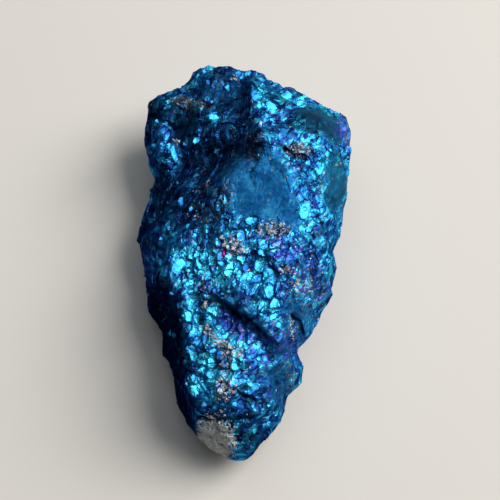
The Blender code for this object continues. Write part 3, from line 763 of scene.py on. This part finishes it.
def add_node(tree, kind, links=None, **settings):
    """A node with its settings, and links or values for its inputs."""
    made = tree.nodes.new(kind)
    for name, value in settings.items():
        setattr(made, name, value)
    for name, value in (links or {}).items():
        if isinstance(value, bpy.types.NodeSocket):
            tree.links.new(value, made.inputs[name])
        else:
            made.inputs[name].default_value = value
    return made


def add_sockets(tree, inputs, outputs):
    for side, sockets in (("INPUT", inputs), ("OUTPUT", outputs)):
        for name, kind in sockets.items():
            tree.interface.new_socket(name, in_out=side, socket_type="NodeSocket" + kind)


def worked_out(tree, operation, *values):
    return add_node(tree, "ShaderNodeMath", dict(enumerate(values)), operation=operation).outputs[0]


def product(tree, first, second):
    return worked_out(tree, "MULTIPLY", first, second)


def plus(tree, value, times, rest):
    """The value so many times, and the rest."""
    return worked_out(tree, "MULTIPLY_ADD", value, times, rest)


# Small chips

def chip_shape(index):
    """One chip with a few flat faces, about one across."""
    scatter = np.random.default_rng(CHIP_SEED + index)
    corners = scatter.normal(size=(CHIP_CORNERS, 3))
    corners /= np.linalg.norm(corners, axis=1)[:, None]
    corners *= scatter.uniform(CHIP_SHRINK, 1.0, (CHIP_CORNERS, 1)) * CHIP_HALVES
    chip = bmesh.new()
    for corner in corners:
        chip.verts.new(corner)
    hull = bmesh.ops.convex_hull(chip, input=chip.verts)
    inside = [part for part in hull["geom_interior"] if isinstance(part, bmesh.types.BMVert)]
    bmesh.ops.delete(chip, geom=inside, context="VERTS")
    bmesh.ops.recalc_face_normals(chip, faces=chip.faces)
    mesh = bpy.data.meshes.new("chip_shape")
    chip.to_mesh(mesh)
    chip.free()
    return mesh


def chip_scatter():
    """Node group that sets small chips a little into a surface, each with a random mark."""
    tree = bpy.data.node_groups.new("chip_scatter", "GeometryNodeTree")
    add_sockets(tree, {
        "Surface": "Geometry", "Forms": "Collection", "Apart": "Float", "Density": "Float",
        "Smallest": "Float", "Largest": "Float", "Sink": "Float", "Lean": "Float", "Seed": "Int"},
        {"Chips": "Geometry"})
    given = add_node(tree, "NodeGroupInput").outputs
    share = add_node(tree, "GeometryNodeInputNamedAttribute", {"Name": "chip_share"}, data_type="FLOAT")
    spread = add_node(tree, "GeometryNodeDistributePointsOnFaces", {
        "Mesh": given["Surface"], "Distance Min": given["Apart"], "Density Max": given["Density"],
        "Density Factor": share.outputs["Attribute"], "Seed": given["Seed"]},
        distribute_method="POISSON").outputs

    inward = add_node(tree, "ShaderNodeVectorMath", {
        0: spread["Normal"], "Scale": product(tree, given["Sink"], -1.0)}, operation="SCALE")
    sunk = add_node(tree, "GeometryNodeSetPosition", {
        "Geometry": spread["Points"], "Offset": inward.outputs[0]})

    back = product(tree, given["Lean"], -1.0)
    low = add_node(tree, "ShaderNodeCombineXYZ", {"X": back, "Y": back, "Z": -math.pi})
    high = add_node(tree, "ShaderNodeCombineXYZ", {"X": given["Lean"], "Y": given["Lean"], "Z": math.pi})
    turn = add_node(tree, "FunctionNodeRandomValue", {"Min": low.outputs[0], "Max": high.outputs[0]},
                    data_type="FLOAT_VECTOR")
    turned = add_node(tree, "FunctionNodeRotateRotation", {
        "Rotation": spread["Rotation"], "Rotate By": turn.outputs["Value"]}, rotation_space="LOCAL")
    size = add_node(tree, "FunctionNodeRandomValue", {
        2: given["Smallest"], 3: given["Largest"], "Seed": CHIP_SIZE_SEED}, data_type="FLOAT")

    forms = add_node(tree, "GeometryNodeCollectionInfo", {
        "Collection": given["Forms"], "Separate Children": True, "Reset Children": True})
    placed = add_node(tree, "GeometryNodeInstanceOnPoints", {
        "Points": sunk.outputs[0], "Instance": forms.outputs[0], "Pick Instance": True,
        "Rotation": turned.outputs[0], "Scale": size.outputs[1]})
    mark = add_node(tree, "FunctionNodeRandomValue", {"Seed": CHIP_MARK_SEED}, data_type="FLOAT")
    marked = add_node(tree, "GeometryNodeStoreNamedAttribute", {
        "Geometry": placed.outputs[0], "Name": "tint", "Value": mark.outputs[1]},
        data_type="FLOAT", domain="INSTANCE")
    real = add_node(tree, "GeometryNodeRealizeInstances", {0: marked.outputs[0]})
    painted = add_node(tree, "GeometryNodeSetMaterial", {"Geometry": real.outputs[0]})
    add_node(tree, "NodeGroupOutput", {0: painted.outputs[0]})
    return tree


def scattered(surface, values):
    """A plain mesh of small chips on the surface."""
    forms = bpy.data.collections.new("chip_forms")
    for index in range(CHIP_FORMS):
        forms.objects.link(bpy.data.objects.new(f"chip_form_{index}", chip_shape(index)))
    tree = bpy.data.node_groups.get("chip_scatter") or chip_scatter()
    holder = add_piece("holder", surface.copy())
    modifier = holder.modifiers.new("chips", "NODES")
    modifier.node_group = tree
    values = {**values, "Forms": forms}
    for item in tree.interface.items_tree:
        if item.in_out == "INPUT" and item.name in values:
            modifier[item.identifier] = values[item.name]
    holder.update_tag()
    mesh = baked(holder)
    for form in list(forms.objects):
        bpy.data.objects.remove(form)
    bpy.data.collections.remove(forms)
    return mesh


def chips(skin, share, values):
    """Chips set on the upper faces of the skin by a share of one where they are thickest."""
    write_values(skin, "chip_share", share * facing_up(read_normals(skin), CHIPS_START))
    return scattered(skin, values)


def ore_chips(skin):
    """Crystals of the ore itself, where its grain stands up in lumps or glints, in the skin's colours."""
    points = read_points(skin)
    share = LUMPY_CHIPS * zone(points, LUMPY_PARTS) + GLINT_CHIPS * zone(points, GLINTS) - zone(points, SATIN)
    mesh = chips(skin, share, ORE_CHIPS)
    write_values(mesh, "fleck", read_values(mesh, "tint"))
    tarnish_and_painted_light(mesh)
    return mesh


# Materials

def new_material(name):
    material = bpy.data.materials.new(name)
    material.use_nodes = True
    return material, material.node_tree, material.node_tree.nodes["Principled BSDF"]


def attribute(tree, name):
    return add_node(tree, "ShaderNodeAttribute", attribute_name=name).outputs["Fac"]


def object_place(tree):
    return add_node(tree, "ShaderNodeTexCoord").outputs["Object"]


def noise_texture(tree, place, **values):
    return add_node(tree, "ShaderNodeTexNoise", {"Vector": place, **values}).outputs["Fac"]


def mixed(tree, share, first, second):
    return add_node(tree, "ShaderNodeMix", {0: share, 6: first, 7: second}, data_type="RGBA").outputs[2]


def larger(tree, first, second):
    return worked_out(tree, "MAXIMUM", first, second)


def between(tree, share, low, high):
    """From low to high as the share goes from zero to one."""
    return add_node(tree, "ShaderNodeMapRange", {
        "Value": share, "To Min": low, "To Max": high}).outputs["Result"]


def stretched(tree, value, low, high):
    """From zero to one as the value goes from low to high."""
    return add_node(tree, "ShaderNodeMapRange", {
        "Value": value, "From Min": low, "From Max": high}).outputs["Result"]


def ramp(tree, share, stops):
    made = add_node(tree, "ShaderNodeValToRGB", {"Fac": share})
    bands = made.color_ramp.elements
    while len(bands) < len(stops):
        bands.new(0.5)
    for band, (place, colour) in zip(bands, stops):
        band.position = place
        band.color = (*colour, 1.0)
    return made.outputs["Color"]


def fine_surface():
    """Group with a slow film that changes over a grain, and the bumped normal of a fine height."""
    tree = bpy.data.node_groups.new("fine_surface", "ShaderNodeTree")
    add_sockets(tree, {"Vector": "Vector", "Film Scale": "Float", "Height Scale": "Float",
                       "Bump Strength": "Float", "Bump Distance": "Float"},
                {"Film": "Float", "Normal": "Vector"})
    given = add_node(tree, "NodeGroupInput").outputs
    film = noise_texture(tree, given["Vector"], Scale=given["Film Scale"], Detail=FILM_DETAIL)
    height = noise_texture(tree, given["Vector"], Scale=given["Height Scale"], Detail=HEIGHT_DETAIL)
    bump = add_node(tree, "ShaderNodeBump", {
        "Height": height, "Strength": given["Bump Strength"], "Distance": given["Bump Distance"]})
    add_node(tree, "NodeGroupOutput", {"Film": film, "Normal": bump.outputs["Normal"]})
    return tree


def surfaced(tree, place, values):
    """The outputs of the fine surface with the given values."""
    group = bpy.data.node_groups.get("fine_surface") or fine_surface()
    node = add_node(tree, "ShaderNodeGroup", node_tree=group)
    tree.links.new(place, node.inputs["Vector"])
    for name, value in values.items():
        node.inputs[name].default_value = value
    return node.outputs


def film_level(tree, film):
    """How far each place lies from the dark to the bright end of its colour, lifted by the painted highlight
    and lowered by the painted shade.
    """
    level = product(tree, film, FILM_WEIGHT)
    for name, weight in LEVEL_WEIGHTS.items():
        level = plus(tree, attribute(tree, name), weight, level)
    return stretched(tree, level, *LEVEL_SPAN)


def satin_nap(tree, place):
    """Fine nap over broad mottling, for the smooth faces."""
    drawn = add_node(tree, "ShaderNodeMapping", {"Vector": place, "Scale": NAP_DRAW}).outputs["Vector"]
    nap = stretched(tree, noise_texture(tree, drawn, **NAP), *NAP_SPAN)
    mottle = noise_texture(tree, place, **MOTTLE)
    return plus(tree, mottle, MOTTLE_WEIGHT, plus(tree, nap, NAP_WEIGHT, NAP_START))


def film_colour(tree, place, level, satin):
    """Blue film, with satin, teal, violet and pink parts."""
    nap = satin_nap(tree, place)
    even = add_node(tree, "ShaderNodeMix", {0: satin, 2: level, 3: between(tree, nap, *NAP_LEVELS)},
                    data_type="FLOAT").outputs[0]
    colour = mixed(tree, satin, ramp(tree, level, BLUES), ramp(tree, nap, SATINS))
    colour = mixed(tree, attribute(tree, "teal"), colour, ramp(tree, even, TEALS))
    colour = mixed(tree, attribute(tree, "violet"), colour, ramp(tree, even, VIOLETS))
    return mixed(tree, attribute(tree, "pink"), colour, PINK_GRAIN)


def flecked(tree, place, level, colour):
    """The colour with flecks of bare ore and gangue, and where the gangue is."""
    cells = add_node(tree, "ShaderNodeTexVoronoi", {"Vector": place, "Scale": FLECK_SCALE}).outputs["Color"]
    marks = add_node(tree, "ShaderNodeSeparateColor", {"Color": cells}).outputs
    bare = worked_out(tree, "LESS_THAN", marks["Red"], attribute(tree, "bare"))
    gangue = worked_out(tree, "LESS_THAN", marks["Green"], attribute(tree, "gangue"))
    # Gangue lightens with its own mark and with the film's level, so it takes the painted highlight and
    # painted shade too
    lit = plus(tree, marks["Blue"], GANGUE_MARK_WEIGHT, product(tree, level, GANGUE_LEVEL_WEIGHT))
    colour = mixed(tree, product(tree, bare, BARE_COVER), colour, ramp(tree, marks["Blue"], BARES))
    return mixed(tree, gangue, colour, ramp(tree, lit, GANGUES)), gangue


def ore_material():
    """Metallic film that runs from deep blue to cyan, with its other colours laid over it in zones, and with
    painted shade and painted highlight.
    """
    material, tree, shader = new_material("ore_film_and_painted_light")
    place = object_place(tree)
    surface = surfaced(tree, place, FILM_SURFACE)
    satin = attribute(tree, "satin")
    level = film_level(tree, surface["Film"])
    colour, gangue = flecked(tree, place, level, film_colour(tree, place, level, satin))
    # Painted shade, in the zones and in crevices and cracks, takes the colour towards its deepest
    for name, part in PAINTED_SHADE_DARKENING.items():
        colour = mixed(tree, product(tree, attribute(tree, name), part), colour, PAINTED_SHADE_COLOUR)
    tree.links.new(colour, shader.inputs["Base Color"])
    metal = between(tree, gangue, FILM_METAL, GANGUE_METAL)
    tree.links.new(product(tree, metal, between(tree, satin, 1.0, SATIN_METAL)), shader.inputs["Metallic"])
    # Painted shade also makes the film duller
    painted_shade = attribute(tree, "painted_shade")
    dull = larger(tree, satin, product(tree, product(tree, painted_shade, painted_shade), PAINTED_SHADE_DULLS))
    rough = larger(tree, between(tree, surface["Film"], *FILM_ROUGH), between(tree, dull, 0.0, SATIN_ROUGH))
    tree.links.new(rough, shader.inputs["Roughness"])
    tree.links.new(surface["Normal"], shader.inputs["Normal"])
    shader.inputs["Specular Tint"].default_value = FILM_EDGE
    shader.inputs["Specular IOR Level"].default_value = FILM_SPECULAR
    return material


def chip_material(name, finish):
    """Plain chips of one kind, each a little lighter or darker by its mark."""
    material, tree, shader = new_material(name)
    surface = surfaced(tree, object_place(tree), CHIP_SURFACE)
    level = stretched(tree, product(tree, surface["Film"], attribute(tree, "tint")), *CHIP_SPAN)
    tree.links.new(ramp(tree, level, finish["stops"]), shader.inputs["Base Color"])
    tree.links.new(between(tree, surface["Film"], *finish["gloss"]), shader.inputs["Roughness"])
    tree.links.new(surface["Normal"], shader.inputs["Normal"])
    shader.inputs["Metallic"].default_value = finish["metallic"]
    return material


# Floor, lights and camera

def pale_floor():
    mesh = bpy.data.meshes.new("floor")
    corners = [(x * FLOOR_HALF, y * FLOOR_HALF, 0) for x, y in ((-1, -1), (1, -1), (1, 1), (-1, 1))]
    mesh.from_pydata(corners, [], [(0, 1, 2, 3)])
    floor = add_piece("floor", mesh)
    material, _, shader = new_material("pale_floor")
    shader.inputs["Base Color"].default_value = FLOOR_COLOUR
    shader.inputs["Roughness"].default_value = FLOOR_ROUGHNESS
    mesh.materials.append(material)


def soft_room():
    world = bpy.data.worlds.new("soft_room")
    bpy.context.scene.world = world
    world.use_nodes = True
    background = world.node_tree.nodes["Background"]
    background.inputs["Color"].default_value = ROOM_COLOUR
    background.inputs["Strength"].default_value = ROOM_STRENGTH


def place_looking(name, data, direction, distance):
    """A lamp or camera in the given direction from the target, turned to face it."""
    made = bpy.data.objects.new(name, data)
    made.location = VIEW_TARGET + direction.normalized() * distance
    made.rotation_euler = direction.to_track_quat("Z", "Y").to_euler()
    bpy.context.scene.collection.objects.link(made)
    return made


def lamps():
    for name, direction, distance, size, power, colour in LAMPS:
        lamp = bpy.data.lights.new(name, "AREA")
        lamp.shape = "RECTANGLE"
        lamp.size, lamp.size_y = size
        lamp.energy = power
        lamp.color = colour
        place_looking(name, lamp, Vector(direction), distance)


def view():
    """The camera, above the narrow end, at the photograph's angle."""
    camera = bpy.data.cameras.new("view")
    camera.lens = LENS
    camera.clip_start = VIEW_NEAREST
    back = Vector((0.0, -math.cos(VIEW_ELEVATION), math.sin(VIEW_ELEVATION)))
    bpy.context.scene.camera = place_looking("view", camera, back, VIEW_DISTANCE)
    bpy.context.scene.view_settings.view_transform = "Standard"


main()
